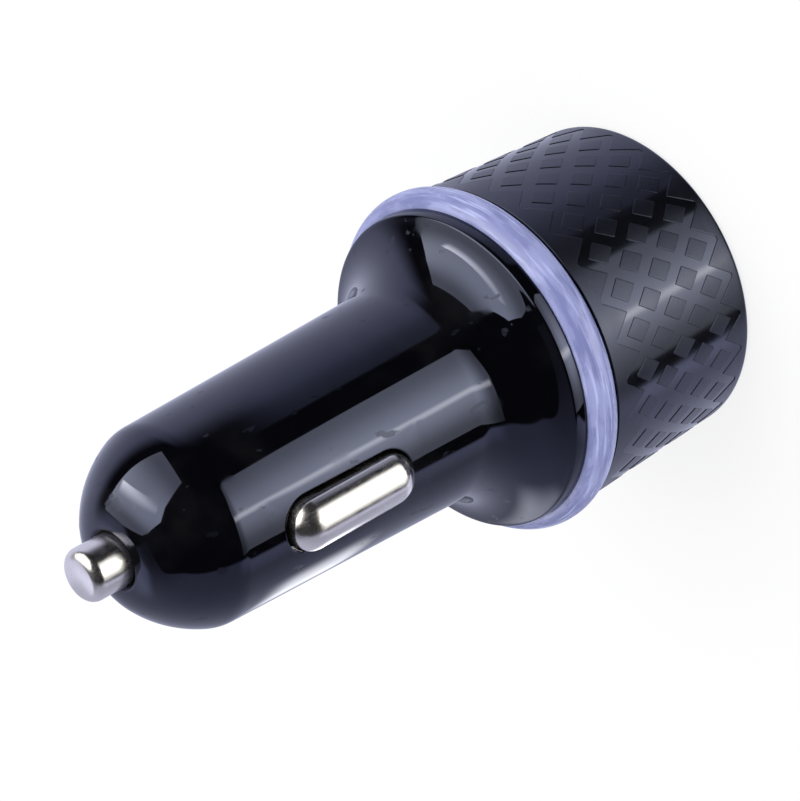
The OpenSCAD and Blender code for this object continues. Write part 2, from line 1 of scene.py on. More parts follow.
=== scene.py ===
# %% [markdown]
# # A car charger plug with a lattice head
# The plug goes into a car's power socket. From the tip back it has a nickel tip on a spring, a
# glossy black barrel with a sprung contact on each side, a flare, a lavender ring with lamps behind
# it, and a satin head with rows of small diamonds. Two ports are in the face at the head's end.
# The solids come from the frame. This lesson dresses them: it makes finer skins where light shows
# every facet, and a finish for each piece.

# %% The frame and the tools
import math
import bpy
import bmesh
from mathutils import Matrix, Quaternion, Vector


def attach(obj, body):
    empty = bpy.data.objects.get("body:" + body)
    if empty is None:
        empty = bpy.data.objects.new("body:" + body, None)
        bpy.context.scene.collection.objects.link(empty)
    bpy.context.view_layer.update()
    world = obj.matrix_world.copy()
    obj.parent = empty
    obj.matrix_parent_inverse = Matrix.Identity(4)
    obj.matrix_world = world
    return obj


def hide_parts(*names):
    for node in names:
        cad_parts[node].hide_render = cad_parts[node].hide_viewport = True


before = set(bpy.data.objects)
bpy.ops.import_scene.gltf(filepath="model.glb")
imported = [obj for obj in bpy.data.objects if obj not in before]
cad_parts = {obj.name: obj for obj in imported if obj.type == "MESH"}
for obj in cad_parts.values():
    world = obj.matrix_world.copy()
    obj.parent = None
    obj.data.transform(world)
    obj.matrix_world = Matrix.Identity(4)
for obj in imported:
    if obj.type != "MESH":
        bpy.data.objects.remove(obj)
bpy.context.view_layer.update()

MM = 0.001

# %% [markdown]
# ## Sizes that several pieces share
# All sizes are in millimetres along the plug's own axis: the face is at 0 and the tip points up.
# They repeat the solids' sizes, so that a finer skin lies on the solid that it stands for. Only
# small trim differs. The side contacts and the end of the nose are rounder, by under 0.3 mm. The
# head's grooves are 0.055 mm deep where the solid's are 0.08 mm, its diamonds have rounded edges,
# and a small step runs beside the ring.

# %% Sizes along the axis
head_len, face_r, ring_side_r, bore_r = 19.0, 15.4, 16.25, 13.5
ring_low, ring_high, ring_crown = 19.2, 22.2, 16.95
edge_z, edge_r, band_r = 23.5, 15.45, 15.6
barrel_r, draft = 10.4, math.radians(1.74)
nose_z, nose_end, nose_wall = 57.3, 64.58, 2.2
slot_z, slot_len, slot_w, slot_gap = 45.9, 14.6, 5.4, 0.3
contact_proud, contact_crown, contact_edge = 2.0, 2.6, 0.6
tip_r, tip_end, tip_round = 2.5, 68.58, 1.0
flare_r = 7.4
flare_x = barrel_r + flare_r * math.cos(draft)
flare_y = edge_z + math.sqrt(flare_r ** 2 - (flare_x - edge_r) ** 2)
flare_end = flare_y - flare_r * math.sin(draft)


def head_radius(z):
    return face_r + (ring_side_r - face_r) * z / head_len


def barrel_radius(z):
    return barrel_r - (z - flare_end) * math.tan(draft)


print("straight barrel from", round(flare_end, 2), "to", nose_z, "mm")

# %% [markdown]
# ## The camera
# The plug is seen from the tip's side, from above, and the picture is turned so that the plug lies
# aslant in it. So the camera gets a place and a point that it looks at, and then a turn round its
# own line of sight. The long lens keeps the round ends from looking swollen.

# %% Camera
def new_object(name, data):
    obj = bpy.data.objects.new(name, data)
    bpy.context.scene.collection.objects.link(obj)
    return obj


def place_camera(seen_from, looks_at, turn, lens):
    cam = new_object("camera", bpy.data.cameras.new("camera"))
    cam.data.lens, cam.data.sensor_width = lens, 36
    cam.data.clip_start, cam.data.clip_end = 0.01, 20
    cam.location = Vector(seen_from) * MM
    sight = (Vector(looks_at) - Vector(seen_from)).normalized()
    roll = Quaternion((0, 0, 1), math.radians(turn))
    cam.rotation_mode = "QUATERNION"
    cam.rotation_quaternion = sight.to_track_quat("-Z", "Y") @ roll
    bpy.context.scene.camera = cam
    return cam


camera = place_camera(seen_from=(221.24, 145.88, 219.74), looks_at=(-0.066, 0.101, 30.306),
                      turn=-118.82, lens=161.8)
bpy.context.scene.view_settings.view_transform = "Standard"
print("camera", [round(v, 4) for v in camera.location], "lens", camera.data.lens)

# %% [markdown]
# ## Helpers for node trees
# Each finish is a small tree of nodes on the object's own coordinates, in metres. `link_in` makes a
# node, sets its plain values and joins what comes from other nodes.

# %% Node helpers
def link_in(tree, kind, inputs=None, **settings):
    n = tree.nodes.new(kind)
    for key, value in settings.items():
        setattr(n, key, value)
    for key, value in (inputs or {}).items():
        if isinstance(value, bpy.types.NodeSocket):
            tree.links.new(value, n.inputs[key])
        else:
            n.inputs[key].default_value = value
    return n


def calc(tree, operation, *values, clamp=False):
    return link_in(tree, "ShaderNodeMath", dict(enumerate(values)),
                   operation=operation, use_clamp=clamp).outputs[0]


def times(tree, *values):
    product = values[0]
    for value in values[1:]:
        product = calc(tree, "MULTIPLY", product, value)
    return product


def gate(tree, value, start, end, low=0.0, high=1.0):
    """Goes smoothly from low, where the value is at start, to high, where it is at end."""
    inputs = {"Value": value, "From Min": start, "From Max": end, "To Min": low, "To Max": high}
    return link_in(tree, "ShaderNodeMapRange", inputs, interpolation_type="SMOOTHSTEP").outputs[0]


def axes(tree, vector):
    return link_in(tree, "ShaderNodeSeparateXYZ", {0: vector}).outputs


def noise(tree, place, size, detail=2.0, stretch=(1, 1, 1)):
    """Cloudy pattern with lumps of about size millimetres, drawn out along an axis by stretch."""
    scale = [1 / s for s in stretch]
    spot = link_in(tree, "ShaderNodeMapping", {"Vector": place, "Scale": scale}).outputs[0]
    inputs = {"Vector": spot, "Scale": 1 / (size * MM), "Detail": detail}
    return link_in(tree, "ShaderNodeTexNoise", inputs).outputs["Fac"]


def relief(tree, height, depth, under=None):
    """Bump that is depth millimetres high, laid over an earlier one."""
    inputs = {"Height": height, "Distance": depth * MM, "Strength": 1.0}
    if under:
        inputs["Normal"] = under
    return link_in(tree, "ShaderNodeBump", inputs).outputs[0]


def tinted(tree, fac, dark, light):
    """Mix of two colours, of which the dark one may come from another node."""
    if isinstance(dark, tuple):
        dark = (*dark, 1)
    inputs = {0: fac, 6: dark, 7: (*light, 1)}
    return link_in(tree, "ShaderNodeMix", inputs, data_type="RGBA").outputs[2]


def mixed(tree, fac, first, second):
    return link_in(tree, "ShaderNodeMixShader", {0: fac, 1: first, 2: second}).outputs[0]


def empty_tree(owner):
    owner.use_nodes = True
    owner.node_tree.nodes.clear()
    return owner.node_tree


def blank_finish(name):
    """Material, its tree, its shader and the place on the piece."""
    mat = bpy.data.materials.new(name)
    tree = empty_tree(mat)
    skin = tree.nodes.new("ShaderNodeBsdfPrincipled")
    link_in(tree, "ShaderNodeOutputMaterial", {"Surface": skin.outputs[0]})
    return mat, tree, skin, tree.nodes.new("ShaderNodeTexCoord").outputs["Object"]


def dress(tree, skin, colour, rough, normal):
    for word, value in (("Base Color", colour), ("Roughness", rough), ("Normal", normal)):
        tree.links.new(value, skin.inputs[word])


def blue_sheen(skin):
    """Makes black plastic mirror strongly and a little blue."""
    skin.inputs["Specular Tint"].default_value = (0.66, 0.71, 1.0, 1)
    skin.inputs["Specular IOR Level"].default_value = 0.7


# %% [markdown]
# ## Glossy black of the barrel
# The barrel is moulded in a polished tool. What makes such black look real isn't its colour but its
# reflections: the wall is never quite true, so their edges wander a little, finger marks dull them
# in patches, and a few specks of dust sit on top. The hole round the tip is dull inside.

# %% Finish: glossy black
def gloss_black():
    mat, tree, skin, place = blank_finish("gloss_black")
    blue_sheen(skin)
    cells = link_in(tree, "ShaderNodeTexVoronoi", {"Vector": place, "Scale": 620.0}).outputs
    shade = link_in(tree, "ShaderNodeSeparateColor", {0: cells["Color"]}).outputs[0]
    speck = times(tree, gate(tree, cells["Distance"], 0.05, 0.02), gate(tree, shade, 0.93, 0.94))
    marks = noise(tree, place, 7, 3)
    film = gate(tree, marks, 0.45, 0.75, 0, 0.02)
    pale = calc(tree, "MAXIMUM", speck, film)
    colour = tinted(tree, pale, (0.0012, 0.0012, 0.0018), (0.22, 0.22, 0.24))
    at = axes(tree, place)
    square = calc(tree, "MULTIPLY_ADD", at["X"], at["X"], times(tree, at["Y"], at["Y"]))
    near_axis = gate(tree, calc(tree, "SQRT", square), 2.95 * MM, 2.85 * MM)
    in_hole = times(tree, near_axis, gate(tree, at["Z"], 61 * MM, 62 * MM))
    dull = times(tree, calc(tree, "MAXIMUM", speck, in_hole), 0.5)
    smudge = gate(tree, noise(tree, place, 3.4, 4, (1, 1, 1.6)), 0.58, 0.72, 0, 0.14)
    finger = gate(tree, noise(tree, place, 1.5, 3, (1, 1, 2.2)), 0.645, 0.70, 0, 0.32)
    dull = calc(tree, "MAXIMUM", calc(tree, "MAXIMUM", smudge, finger), dull)
    rough = calc(tree, "ADD", gate(tree, marks, 0.35, 0.75, 0.02, 0.06), dull)
    waves = relief(tree, noise(tree, place, 9, 1), 0.02)
    dress(tree, skin, colour, rough, relief(tree, noise(tree, place, 1.3, 2), 0.0006, waves))
    return mat


black_gloss = gloss_black()
print("finish", black_gloss.name)

# %% [markdown]
# ## Satin black of the head
# The head's bands and diamonds have a fine spark-eroded texture, so they shine softly. The grooves
# between the diamonds are smooth and show sharper lights. Two finishes of one plastic do this.

# %% Finish: satin and polished black
def head_black(name, rough_low, rough_high, grain, depth):
    """Black whose grain is so many millimetres across and deep."""
    mat, tree, skin, place = blank_finish(name)
    blue_sheen(skin)
    worn = noise(tree, place, 5, 4)
    colour = tinted(tree, worn, (0.0022, 0.0022, 0.003), (0.004, 0.004, 0.0055))
    rough = gate(tree, worn, 0.3, 0.7, rough_low, rough_high)
    waves = relief(tree, noise(tree, place, 8, 1), 0.012)
    dress(tree, skin, colour, rough, relief(tree, noise(tree, place, grain, 2), depth, waves))
    return mat


black_satin = head_black("satin_black", 0.25, 0.33, 0.12, 0.0012)
groove_black = head_black("groove_black", 0.10, 0.15, 0.5, 0.0004)
plate_black = head_black("plate_black", 0.34, 0.42, 0.2, 0.004)
print("finishes", black_satin.name, groove_black.name, plate_black.name)

# %% [markdown]
# ## Lavender ring
# The ring is milky plastic, tinted lavender, that spreads the light of the lamps behind it. Here
# they are off. Light goes a little way in, so it needs subsurface scattering. Flow lines from the
# moulding run round it as faint streaks, which are noise drawn out in the plane of the ring.
# Thinner, paler lines over them are painted highlights: glints drawn into the colour.

# %% Finish: lavender ring
def milky_lavender():
    mat, tree, skin, place = blank_finish("milky_lavender")
    streak = noise(tree, place, 1.1, 4, (4, 4, 0.5))
    both = calc(tree, "MULTIPLY_ADD", streak, 0.6, times(tree, noise(tree, place, 4, 3), 0.4))
    body = tinted(tree, gate(tree, both, 0.38, 0.62), (0.19, 0.208, 0.41), (0.30, 0.322, 0.565))
    # Painted highlight: thin pale lines drawn out round the ring lighten the colour like glints.
    painted_highlight_lines = gate(tree, noise(tree, place, 0.6, 2, (9, 9, 0.5)), 0.54, 0.72)
    colour = tinted(tree, painted_highlight_lines, body, (0.42, 0.45, 0.71))
    skin.inputs["Subsurface Weight"].default_value = 0.35
    skin.inputs["Subsurface Radius"].default_value = (0.9, 0.9, 1.0)
    skin.inputs["Subsurface Scale"].default_value = 0.0012
    dress(tree, skin, colour, gate(tree, streak, 0.3, 0.7, 0.2, 0.34), relief(tree, both, 0.008))
    return mat


ring_lavender = milky_lavender()
print("finish", ring_lavender.name)

# %% [markdown]
# ## Nickel and the other metals
# The contacts are turned or stamped and then nickel plated. Fine lines go round or along them, so
# the metal helper draws noise out along one axis, and wear makes the roughness uneven.

# %% Finishes: metals
def plated(name, dark, light, rough, line_size, stretch, depth):
    """Metal with a lowest and a highest roughness and with fine lines, sized in millimetres."""
    mat, tree, skin, place = blank_finish(name)
    patch = noise(tree, place, 2.2, 4)
    lines = noise(tree, place, line_size, 3, stretch)
    skin.inputs["Metallic"].default_value = 1.0
    wear = calc(tree, "MULTIPLY_ADD", lines, 0.5, times(tree, patch, 0.5))
    dress(tree, skin, tinted(tree, patch, dark, light), gate(tree, wear, 0.35, 0.65, *rough),
          relief(tree, lines, depth))
    return mat


nickel = plated("nickel", (0.71, 0.67, 0.63), (0.87, 0.82, 0.78),
                rough=(0.19, 0.28), line_size=0.25, stretch=(1, 1, 6), depth=0.0006)
shell_steel = plated("port_steel", (0.52, 0.52, 0.53), (0.66, 0.66, 0.67),
                     rough=(0.22, 0.36), line_size=0.12, stretch=(1, 12, 1), depth=0.001)
spring_steel = plated("spring_steel", (0.42, 0.42, 0.43), (0.56, 0.56, 0.57),
                      rough=(0.2, 0.35), line_size=0.2, stretch=(4, 1, 1), depth=0.001)
gilt = plated("gilt_brass", (0.78, 0.52, 0.2), (0.9, 0.66, 0.32),
              rough=(0.16, 0.3), line_size=0.15, stretch=(1, 1, 5), depth=0.0008)
copper = plated("copper_wire", (0.55, 0.2, 0.07), (0.72, 0.3, 0.12),
                rough=(0.22, 0.36), line_size=0.3, stretch=(1, 3, 3), depth=0.002)
print("metals", nickel.name, shell_steel.name, spring_steel.name, gilt.name, copper.name)

# %% [markdown]
# ## Inner pieces
# The board and its parts are inside, and the ports' tongues show only in the face. They get a
# finish each as well.

# %% Finishes: inner pieces
def inner(name, dark, light, rough, size, depth):
    """Plain finish with one middle roughness and with spots, sized in millimetres."""
    mat, tree, skin, place = blank_finish(name)
    spots = noise(tree, place, size, 4)
    dress(tree, skin, tinted(tree, gate(tree, spots, 0.3, 0.7), dark, light),
          gate(tree, spots, 0.3, 0.7, rough * 0.8, rough * 1.2), relief(tree, spots, depth))
    return mat


board_green = inner("board_green", (0.01, 0.07, 0.03), (0.02, 0.12, 0.05), 0.35, 0.6, 0.01)
ferrite = inner("ferrite", (0.03, 0.03, 0.035), (0.07, 0.07, 0.075), 0.6, 0.3, 0.02)
can_blue = inner("can_sleeve", (0.015, 0.02, 0.05), (0.03, 0.035, 0.08), 0.3, 1.2, 0.006)
ceramic = inner("chip_ceramic", (0.42, 0.32, 0.2), (0.56, 0.44, 0.3), 0.5, 0.25, 0.01)
chip_black = inner("chip_black", (0.012, 0.012, 0.013), (0.024, 0.024, 0.026), 0.5, 0.15, 0.006)
lamp_white = inner("lamp_white", (0.7, 0.7, 0.66), (0.82, 0.82, 0.78), 0.3, 0.5, 0.004)
tongue_white = inner("tongue_white", (0.68, 0.69, 0.7), (0.78, 0.79, 0.8), 0.32, 0.8, 0.004)
by_node = {
    "face_plate": plate_black, "port_shell_right": shell_steel, "port_shell_left": shell_steel,
    "port_tongue_right": tongue_white, "port_tongue_left": tongue_white,
    "port_strips_right": gilt, "port_strips_left": gilt, "main_board": board_green,
    "choke_core": ferrite, "choke_winding": copper, "input_capacitor": can_blue,
    "output_capacitor": ceramic, "regulator_chip": chip_black, "port_chip": chip_black,
    "rectifier_diode": chip_black, "ring_lamps": lamp_white, "spring_seat": gilt,
    "tip_spring": spring_steel, "side_spring_right": spring_steel, "side_spring_left": spring_steel,
}
for name, finish in by_node.items():
    for own_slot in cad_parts[name].material_slots:
        own_slot.material = finish
print("dressed", len(by_node), "solids that keep their own mesh")

# %% [markdown]
# ## Helpers for turned skins
# Most of the plug is round, as if turned on a lathe: a half section goes once round the axis. It is
# a list of points (radius, height), and its arcs have many points, so the shading has no flats.

# %% Turned skins
def on_circle(centre, radius, angle):
    t = math.radians(angle)
    return centre[0] + radius * math.cos(t), centre[1] + radius * math.sin(t)


def arc(centre, radius, start, end, count):
    """Points on an arc of a half section, from the angle start to the angle end, in degrees."""
    turns = [start + (end - start) * i / (count - 1) for i in range(count)]
    return [on_circle(centre, radius, turn) for turn in turns]


def run(a, b, count):
    """Points from a up to, but without, b."""
    return [(a[0] + (b[0] - a[0]) * i / count, a[1] + (b[1] - a[1]) * i / count)
            for i in range(count)]


def turn_round(bm, section, around, closed=True, finish_of=None):
    """Spins a half section round the axis. Points on the axis become one vertex each."""
    rings = []
    for r, z in section:
        if r < 1e-6:
            rings.append([bm.verts.new((0, 0, z * MM))] * around)
        else:
            rings.append([bm.verts.new((r * MM * math.cos(t), r * MM * math.sin(t), z * MM))
                          for t in (2 * math.pi * i / around for i in range(around))])
    pairs = list(zip(rings, rings[1:])) + ([(rings[-1], rings[0])] if closed else [])
    for k, (low, high) in enumerate(pairs):
        for i in range(around):
            n = (i + 1) % around
            corners = list(dict.fromkeys([low[i], low[n], high[n], high[i]]))
            if len(corners) > 2:
                face = bm.faces.new(corners)
                if finish_of:
                    face.material_index = finish_of(k)
    return rings


def piece_from(bm, name, finishes, sharp=40):
    """Object made of a bmesh. Its shading is smooth but for edges sharper than so many degrees."""
    bmesh.ops.recalc_face_normals(bm, faces=bm.faces)
    mesh = bpy.data.meshes.new(name)
    bm.to_mesh(mesh)
    bm.free()
    for finish in finishes:
        mesh.materials.append(finish)
    mesh.shade_smooth()
    mesh.set_sharp_from_angle(angle=math.radians(sharp))
    return new_object(name, mesh)


def stands_for(obj, node, body):
    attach(obj, body)
    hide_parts(node)
    print(obj.name, "-", len(obj.data.polygons), "faces, rides on", body)


# %% [markdown]
# ## Tip
# The tip is a short pin with a rounded edge and a slightly domed end. A collar inside the nose
# keeps it in, and a stub below the collar sits in the spring. It is turned in one go.

# %% Tip
def make_tip():
    collar_top, collar_h, collar_r = 62.33, 1.2, 3.8
    stub_end, stub_r = collar_top - 2.8, 1.9
    section = [(0, stub_end), (stub_r, stub_end), (stub_r, collar_top - collar_h),
               (collar_r, collar_top - collar_h), (collar_r, collar_top), (tip_r, collar_top)]
    crown = 9.0
    lean = math.asin((tip_r - tip_round) / (crown - tip_round))
    drop = (crown - tip_round) * (1 - math.cos(lean))
    edge, crown_start = (tip_r - tip_round, tip_end - tip_round - drop), 90 - math.degrees(lean)
    section += run((tip_r, collar_top + 0.2), (tip_r, edge[1]), 6)
    section += arc(edge, tip_round, 0, crown_start, 26)
    section += arc((0, tip_end - crown), crown, crown_start, 90, 9)[1:]
    bm = bmesh.new()
    turn_round(bm, section, 160, closed=False)
    tip = piece_from(bm, "nickel_tip", [nickel])
    stands_for(tip, "tip_contact", "tip")


make_tip()

# %% [markdown]
# ## Light ring
# The ring's crown is a low arc. A skirt inside the seam carries it.

# %% Light ring
def make_ring():
    curve, crown_h, bevel = 1.8, 1.3, 0.1
    skirt_end, skirt_r = 16.1, 14.4
    centre = ring_crown - curve, ring_low + crown_h
    low = math.degrees(math.asin((ring_low + bevel - centre[1]) / curve))
    high = math.degrees(math.asin((ring_high - bevel - centre[1]) / curve))
    section = [(bore_r, ring_high), (bore_r, skirt_end), (skirt_r, skirt_end), (skirt_r, ring_low)]
    section += [(on_circle(centre, curve, low)[0] - bevel, ring_low)]
    section += arc(centre, curve, low, high, 30)
    section += [(on_circle(centre, curve, high)[0] - bevel, ring_high)]
    bm = bmesh.new()
    turn_round(bm, section, 320)
    ring = piece_from(bm, "lavender_ring", [ring_lavender], sharp=50)
    stands_for(ring, "light_ring", "housing")


make_ring()

# %% [markdown]
# ## Barrel with its two slots
# The barrel is turned too, but each side has a long slot with a rounded lip. A cut through a fine
# turned mesh leaves slivers that gloss black would show. So the wall leaves out a window of faces
# there, and loops lead from the window's edge to the slot's outline, over the lip and through the
# wall. All their points follow the wall's true surface.

# %% Slotted walls
AROUND = 360
WINDOW, WINDOW_HIGH, WINDOW_ROWS = 22, 9, 30
SPINE, SLOT_R = (slot_len - slot_w) / 2, slot_w / 2


def on_wall(radius_at, y, z, side, sink=0.0):
    x = math.sqrt(radius_at(z) ** 2 - y ** 2) - sink
    return Vector((side * x, side * y, z)) * MM


def outline_point(y, z, half_high, grow):
    """Point of the slot's outline, grown by grow, that faces the point (y, z) of the window."""
    foot = max(-SPINE, min(SPINE, z * SPINE / half_high))
    way = Vector((y, z - foot)).normalized()
    reach = SLOT_R + grow
    if abs(way.x) > 1e-9:
        beside = foot + way.y * reach / abs(way.x)
        if abs(beside) <= SPINE:
            return math.copysign(reach, way.x), beside
    back = foot - math.copysign(SPINE, way.y)
    out = math.sqrt((way.y * back) ** 2 - back ** 2 + reach ** 2) - way.y * back
    return way.x * out, foot + way.y * out


def loft(bm, loops):
    for a, b in zip(loops, loops[1:]):
        for i in range(len(a)):
            n = (i + 1) % len(a)
            bm.faces.new((a[i], a[n], b[n], b[i]))


def slotted_wall(bm, rings, rows, radius_at, side, lip):
    """Fills the window on one side with loops round the slot. Returns the loop at its edge."""
    first, last = rows[0], rows[-1]
    middle = 0 if side > 0 else AROUND // 2
    columns = range(middle - WINDOW, middle + WINDOW + 1)
    edge = [rings[first][c % AROUND] for c in columns]
    edge += [rings[r][(middle + WINDOW) % AROUND] for r in rows[1:]]
    edge += [rings[last][c % AROUND] for c in reversed(columns)][1:]
    edge += [rings[r][(middle - WINDOW) % AROUND] for r in reversed(rows[1:-1])]
    flat = [(side * v.co.y / MM, v.co.z / MM - slot_z) for v in edge]
    half_high = (rings[last][0].co.z - rings[first][0].co.z) / MM / 2

    def outline(grow):
        return [outline_point(y, z, half_high, grow) for y, z in flat]

    def wall_loop(points, sink=0.0):
        return [bm.verts.new(on_wall(radius_at, y, z, side, sink)) for y, z in points]

    loops = [edge]
    for share in (0.62, 0.34, 0.16, 0.05, 0.0):
        loops.append(wall_loop([(a + (y - a) * share, slot_z + b + (z - b) * share)
                                for (a, b), (y, z) in zip(outline(lip), flat)]))
    for turn in (22.5, 45, 67.5, 90) if lip else ():
        t = math.radians(turn)
        points = [(a, slot_z + b) for a, b in outline(lip * (1 - math.sin(t)))]
        loops.append(wall_loop(points, lip * (1 - math.cos(t))))
    loft(bm, loops)
    return loops[-1]


# %% [markdown]
# The half section goes up the outside, into the hole for the tip and down again inside, to the tube
# that reaches into the head. So one turn makes the whole hollow moulding.

# %% Barrel
def barrel_section():
    """Half section of the outside, from the flange to the hole for the tip."""
    shoulder, dome, blend = 4.0, 12.0, 22.0
    sx = barrel_radius(nose_z) - shoulder * math.cos(draft)
    sy = nose_z - shoulder * math.sin(draft)
    dx, dy = on_circle((sx, sy), shoulder - dome, blend)
    roll_start, roll_end, brim = 50.0, 84.0, 2.95
    roll_x, roll_y = on_circle((dx, dy), dome, roll_start)
    roll = (roll_x - brim) / (math.cos(math.radians(roll_start)) - math.cos(math.radians(roll_end)))
    roll_centre = on_circle((roll_x, roll_y), -roll, roll_start)
    flare_start = 180 + math.degrees(math.asin((flare_y - edge_z) / flare_r))
    section = [(band_r - 0.08, ring_high), (band_r - 0.01, ring_high + 0.05),
               (band_r, ring_high + 0.12), (edge_r + 0.01, edge_z - 0.12),
               (edge_r - 0.02, edge_z - 0.03), (edge_r - 0.12, edge_z + 0.03)]
    section += arc((flare_x, flare_y), flare_r, flare_start - 2, 180 + math.degrees(draft), 48)
    low, high = slot_z - WINDOW_HIGH, slot_z + WINDOW_HIGH
    section += run((barrel_radius(flare_end + 0.6), flare_end + 0.6), (barrel_radius(low), low), 8)
    window = len(section)
    section += run((barrel_radius(low), low), (barrel_radius(high), high), WINDOW_ROWS)
    section += run((barrel_radius(high), high), (barrel_radius(nose_z), nose_z), 4)
    section += arc((sx, sy), shoulder, math.degrees(draft), blend, 16)
    section += arc((dx, dy), dome, blend, roll_start, 40)[1:]
    section += arc(roll_centre, roll, roll_start, roll_end, 24)[1:]
    hole, sink_w, sink_h, soft = tip_r + 0.08, 0.28, 0.3, 0.04
    section += [(hole + sink_w - soft, nose_end - soft),
                (hole + soft / 2, nose_end - sink_h + soft),
                (hole, nose_end - sink_h - soft), (hole, nose_end - nose_wall)]
    return section, window


def room_section():
    """Half section of the inside, from the hole for the tip back to the flange and the tube."""
    wall, nose_room_r, flare_room_z = 1.6, 4.7, flare_end - 0.8
    tube_in, tube_out, tube_start, tube_end = 12.2, 13.4, 23.0, 14.2
    low, high = slot_z - WINDOW_HIGH, slot_z + WINDOW_HIGH

    def inside(z):
        return barrel_radius(z) - wall

    section = [(nose_room_r, nose_end - nose_wall)]
    section += run((inside(nose_z) - 0.05, nose_z - 0.5), (inside(high), high), 3)
    window = len(section)
    section += run((inside(high), high), (inside(low), low), WINDOW_ROWS)
    section += run((inside(low), low), (inside(flare_end), flare_room_z), 4)
    section += [(barrel_r - wall, flare_room_z), (tube_in, tube_start), (tube_in, tube_end),
                (tube_out, tube_end), (tube_out, ring_high)]
    return section, window, inside


def in_window(face):
    middle = face.calc_center_median() / MM
    turn = math.degrees(math.atan2(middle.y, abs(middle.x)))
    return abs(turn) < WINDOW and abs(middle.z - slot_z) < WINDOW_HIGH


def make_barrel():
    outer, window = barrel_section()
    room, room_window, inside = room_section()
    start = len(outer) + room_window
    bm = bmesh.new()
    rings = turn_round(bm, outer + room, AROUND)
    rows = list(range(window, window + WINDOW_ROWS + 1))
    room_rows = list(range(start + WINDOW_ROWS, start - 1, -1))
    bmesh.ops.delete(bm, geom=[face for face in bm.faces if in_window(face)], context="FACES")
    for side in (1, -1):
        lip = slotted_wall(bm, rings, rows, barrel_radius, side, 0.12)
        back = slotted_wall(bm, rings, room_rows, inside, side, 0.0)
        loft(bm, [lip, back])
    bmesh.ops.delete(bm, geom=[v for v in bm.verts if not v.link_faces], context="VERTS")
    barrel = piece_from(bm, "gloss_barrel", [black_gloss], sharp=44)
    stands_for(barrel, "barrel_housing", "housing")


make_barrel()

# %% [markdown]
# ## Side contacts
# Each side contact is a long pill with a round crest. Loops with the pill's outline climb from the
# foot inside the barrel to the crest, as a lofted shape.

# %% Side contacts
def pill_loop(bm, half_w, x, side, around=96):
    points = []
    for i in range(around):
        t = 2 * math.pi * (i + 0.5) / around
        foot = SPINE if math.sin(t) > 0 else -SPINE
        y, z = half_w * math.cos(t), slot_z + foot + half_w * math.sin(t)
        points.append(bm.verts.new(Vector((side * x, side * y, z)) * MM))
    return points


def make_contact(side, word):
    crest, foot_top = barrel_radius(slot_z) + contact_proud, 7.35
    half, edge_y = slot_w / 2 - slot_gap, slot_w / 2 - slot_gap - contact_edge
    lean = math.asin(edge_y / (contact_crown - contact_edge))
    wall_end = crest - contact_crown + (contact_crown - contact_edge) * math.cos(lean)
    turned = 90 - math.degrees(lean)
    climb = [(3.2, 6.6), (3.3, 6.7), (3.3, 7.3), (3.25, foot_top), (half, foot_top)]
    climb += [(half, foot_top + (wall_end - foot_top) * share) for share in (0.4, 0.8, 0.95)]
    climb += arc((edge_y, wall_end), contact_edge, 0, turned, 7)
    climb += arc((0, crest - contact_crown), contact_crown, turned, 89, 22)[1:]
    bm = bmesh.new()
    loops = [pill_loop(bm, w, x, side) for w, x in climb]
    loft(bm, loops)
    bm.faces.new(loops[0])
    bm.faces.new(loops[-1])
    contact = piece_from(bm, "nickel_side_" + word, [nickel], sharp=50)
    stands_for(contact, "side_contact_" + word, "contact_" + word)


make_contact(1, "right")
make_contact(-1, "left")

# %% [markdown]
# ## Lattice head
# The head's diamonds stand in rows round a slightly tapered sleeve: whole rows on the columns and
# rows between them on the half columns, with a zigzag of teeth at both ends. That follows a rule,
# so Geometry Nodes make it. One diamond and one tooth are modelled flat. The tree sets them out
# flat, as on a strip of paper, and then rolls the strip round the sleeve: the way along the strip
# becomes an angle, and the height above the strip becomes radius.

# %% One diamond and one tooth, flat
LATTICE = dict(columns=26, turn=2.8, middle=9.3, pitch=5.15, groove=0.055, reach=8.1)
TILE_W, TILE_H, TILE_SUNK, TILE_EDGE = 2.45, 3.2, 0.05, 0.045
TOOTH_H, TOOTH_FLAT, ROOT_H, ROOT_WIDER = 2.4, 0.3, 0.2, 1.08
roll_r = head_radius(LATTICE["middle"])
step = 2 * math.pi * roll_r / LATTICE["columns"]
groove = LATTICE["groove"]


def soft_outline(corners, soft, per_side):
    """Outline through the corners, with each corner cut back by soft and rounded."""
    points = []
    for i, corner in enumerate(corners):
        c = Vector(corner)
        before = (Vector(corners[i - 1]) - c).normalized()
        after_point = Vector(corners[(i + 1) % len(corners)])
        after = (after_point - c).normalized()
        a, b = c + before * soft, c + after * soft
        for t in (0, 0.25, 0.5, 0.75, 1):
            points.append(a * (1 - t) ** 2 + c * 2 * t * (1 - t) + b * t ** 2)
        end = after_point - after * soft
        points += [b.lerp(end, k / per_side) for k in range(1, per_side)]
    return points


def flat_block(name, corners, high):
    """Raised block with a rounded upper edge, lying in the XY plane, in metres."""
    bm = bmesh.new()
    outline = soft_outline(corners, 0.12, 8)
    centre = sum(outline, Vector((0, 0))) / len(outline)
    reach = min((p - centre).length for p in outline)
    levels = [(0, -TILE_SUNK), (0, high - TILE_EDGE)]
    for turn in (30, 60, 90):
        t = math.radians(turn)
        levels.append((TILE_EDGE * (1 - math.cos(t)), high - TILE_EDGE + TILE_EDGE * math.sin(t)))
    levels += [(TILE_EDGE * 2.2, high)] + [(reach * share, high) for share in (0.3, 0.6, 0.85)]
    loops = []
    for inset, z in levels:
        flat = [centre + (p - centre) * (1 - inset / reach) for p in outline]
        loops.append([bm.verts.new(Vector((*p, z)) * MM) for p in flat])
    loft(bm, loops)
    hub = bm.verts.new(Vector((*centre, high)) * MM)
    for i in range(len(outline)):
        bm.faces.new((loops[-1][i], loops[-1][(i + 1) % len(outline)], hub))
    return piece_from(bm, name, [black_satin], sharp=60)


